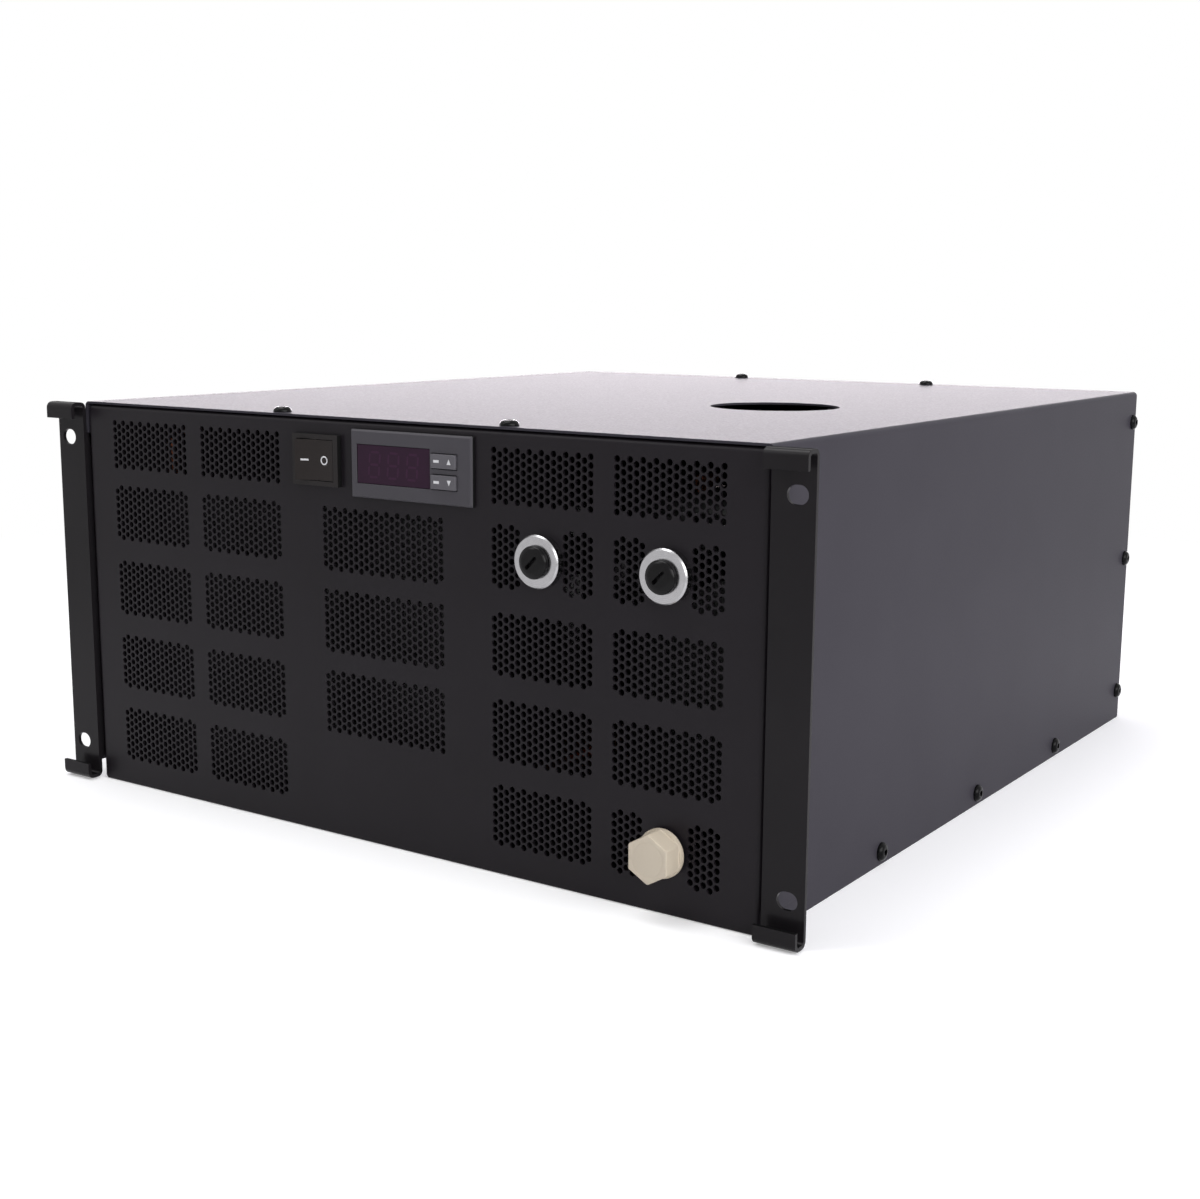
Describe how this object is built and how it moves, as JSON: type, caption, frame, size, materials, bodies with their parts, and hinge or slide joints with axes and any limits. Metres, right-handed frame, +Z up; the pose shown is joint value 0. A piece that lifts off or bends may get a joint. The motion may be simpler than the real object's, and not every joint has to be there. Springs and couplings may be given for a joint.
{
  "type": "rack-mount liquid chiller",
  "caption": "Black sheet-steel rack-mount coolant chiller with perforated front, hooked rack ears, rocker switch, temperature controller and screw-plugged coolant ports.",
  "frame": {"origin": "middle of the rack-hole pattern, on the back face of the ears, which is also the plane of the front panel's face", "axes": "+X to the right of a person facing the front, +Y into the rack, +Z up"},
  "size_m": [0.4826, 0.5187, 0.2215],
  "materials": {
    "black_coat": "fine-textured powder coat, near black",
    "ear_coat": "smooth satin black coat",
    "black_zinc": "black zinc-plated steel",
    "black_plastic": "matt moulded black",
    "rocker_plastic": "glossy moulded black",
    "bezel_plastic": "fine-spark dark grey",
    "window_plastic": "smoked violet, polished",
    "key_plastic": "satin mid grey",
    "nickel": "satin nickel plate",
    "ivory_plastic": "satin ivory",
    "seal_rubber": "matt",
    "hose_rubber": "matt",
    "tank_plastic": "moulded black polyethylene",
    "cap_plastic": "ribbed black",
    "brass_nickel": "machined, plated",
    "copper": "drawn copper tube",
    "steel": "bright zinc plate",
    "stainless": "brazed stainless plate",
    "fin_aluminium": "dipped in a thin black coat",
    "pot_enamel": "black enamel",
    "board_green": "green circuit board"
  },
  "bodies": {
    "chassis": {"top_cover": "black_coat", "bottom_tray": "black_coat", "front_panel": "black_coat", "rear_panel": "black_coat", "rack_ear_left": "ear_coat", "rack_ear_right": "ear_coat", "cover_screws": "black_zinc", "ear_screws": "black_zinc", "switch_housing": "black_plastic", "controller_bezel": "bezel_plastic", "controller_housing": "black_plastic", "controller_window": "window_plastic", "controller_board": "board_green", "controller_clips": "black_plastic", "coolant_ports": "nickel", "bulkhead_nuts": "black_zinc", "reservoir": "tank_plastic", "pump": "black_plastic", "pump_saddle": "steel", "reservoir_hoses": "hose_rubber", "coolant_hoses": "hose_rubber", "coolant_fittings": "brass_nickel", "heat_exchanger": "stainless", "compressor": "pot_enamel", "compressor_grommets": "seal_rubber", "compressor_bolts": "steel", "terminal_cover": "black_plastic", "accumulator": "pot_enamel", "discharge_line": "copper", "suction_line": "copper", "liquid_line": "copper", "filter_drier": "copper", "expansion_valve": "brass_nickel", "condenser_tubes": "fin_aluminium", "condenser_fins": "fin_aluminium", "condenser_headers": "fin_aluminium", "fan_shroud": "steel", "fan_frame": "black_plastic", "control_box": "steel", "control_box_lid": "steel", "control_board": "board_green", "mains_inlet": "black_plastic", "inlet_pins": "nickel"},
    "rocker": {"switch_rocker": "rocker_plastic"},
    "up_key": {"key_up": "key_plastic"},
    "down_key": {"key_down": "key_plastic"},
    "fan": {"fan_rotor": "black_plastic"},
    "fill_ring": {"fill_seal": "seal_rubber"},
    "fill_screw": {"fill_plug": "black_plastic"},
    "balance_ring": {"balance_seal": "seal_rubber"},
    "balance_screw": {"balance_plug": "black_plastic"},
    "service_ring": {"service_seal": "seal_rubber"},
    "service_screw": {"service_plug": "ivory_plastic"},
    "cap_ring": {"cap_seal": "seal_rubber"},
    "cap_screw": {"tank_cap": "cap_plastic"}
  },
  "joints": [
    {"name": "rocker_tilt", "type": "hinge", "parent": "chassis", "child": "rocker", "pos_m": [-0.0415, -0.00145, 0.0871], "axis": [0, 0, -1], "range_deg": [0, 16]},
    {"name": "up_key_press", "type": "slide", "parent": "chassis", "child": "up_key", "axis": [0, 1, 0], "range_m": [0, 0.0008], "stiffness_N_per_m": 400},
    {"name": "down_key_press", "type": "slide", "parent": "chassis", "child": "down_key", "axis": [0, 1, 0], "range_m": [0, 0.0008], "stiffness_N_per_m": 400},
    {"name": "fan_spin", "type": "hinge", "parent": "chassis", "child": "fan", "pos_m": [-0.08, 0.099, -0.02], "axis": [0, 1, 0], "continuous": true},
    {"name": "fill_lift", "type": "slide", "parent": "chassis", "child": "fill_ring", "axis": [0, -1, 0], "range_m": [0, 0.0075]},
    {"name": "fill_turn", "type": "hinge", "parent": "fill_ring", "child": "fill_screw", "pos_m": [0.0986, 0, 0.0482], "axis": [0, -1, 0], "range_deg": [0, 1800]},
    {"name": "balance_lift", "type": "slide", "parent": "chassis", "child": "balance_ring", "axis": [0, -1, 0], "range_m": [0, 0.0075]},
    {"name": "balance_turn", "type": "hinge", "parent": "balance_ring", "child": "balance_screw", "pos_m": [0.1682, 0, 0.0482], "axis": [0, -1, 0], "range_deg": [0, 1800]},
    {"name": "service_lift", "type": "slide", "parent": "chassis", "child": "service_ring", "axis": [0, -1, 0], "range_m": [0, 0.0075]},
    {"name": "service_turn", "type": "hinge", "parent": "service_ring", "child": "service_screw", "pos_m": [0.1682, 0, -0.0795], "axis": [0, -1, 0], "range_deg": [0, 1800]},
    {"name": "cap_lift", "type": "slide", "parent": "chassis", "child": "cap_ring", "axis": [0, 0, 1], "range_m": [0, 0.008]},
    {"name": "cap_turn", "type": "hinge", "parent": "cap_ring", "child": "cap_screw", "pos_m": [0.105, 0.211, 0.08], "axis": [0, 0, 1], "range_deg": [0, 720]}
  ],
  "couplings": [
    {"joint": "fill_turn", "follows": "fill_lift", "rad_per_m": 4188.8},
    {"joint": "balance_turn", "follows": "balance_lift", "rad_per_m": 4188.8},
    {"joint": "service_turn", "follows": "service_lift", "rad_per_m": 4188.8},
    {"joint": "cap_turn", "follows": "cap_lift", "rad_per_m": 1570.8}
  ]
}
